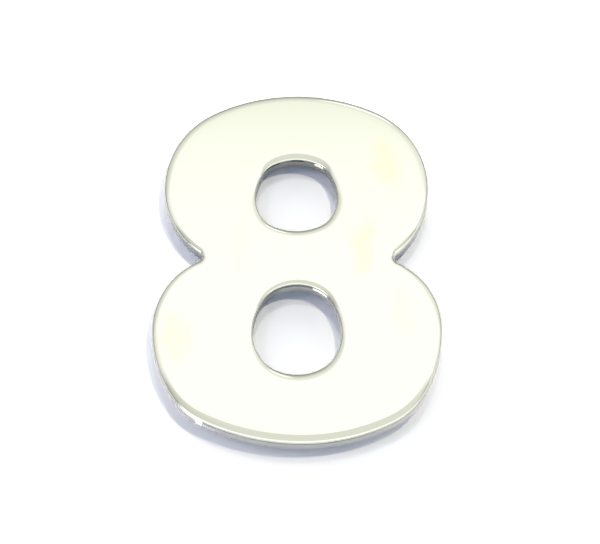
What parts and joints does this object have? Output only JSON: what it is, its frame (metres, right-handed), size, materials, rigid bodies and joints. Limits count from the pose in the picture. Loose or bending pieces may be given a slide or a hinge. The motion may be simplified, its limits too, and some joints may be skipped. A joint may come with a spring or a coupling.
{
  "type": "house number",
  "caption": "Flat figure 8 house number in bright polished plate, with a softly rolled front rim, upright walls and a flat back that is stuck to a door or wall to show its number.",
  "frame": {"origin": "on the flat back face, in the middle of the figure's width and height", "axes": "+Y to the head of the figure, +X to its right as it is read, +Z out of its front face; it lies on its back with its face up, as it was pictured"},
  "size_m": [0.0534, 0.075, 0.0028],
  "materials": {
    "polished_plate": "bright polished plating with a faint warm tint"
  },
  "bodies": {
    "root": {"numeral": "polished_plate"}
  },
  "joints": []
}
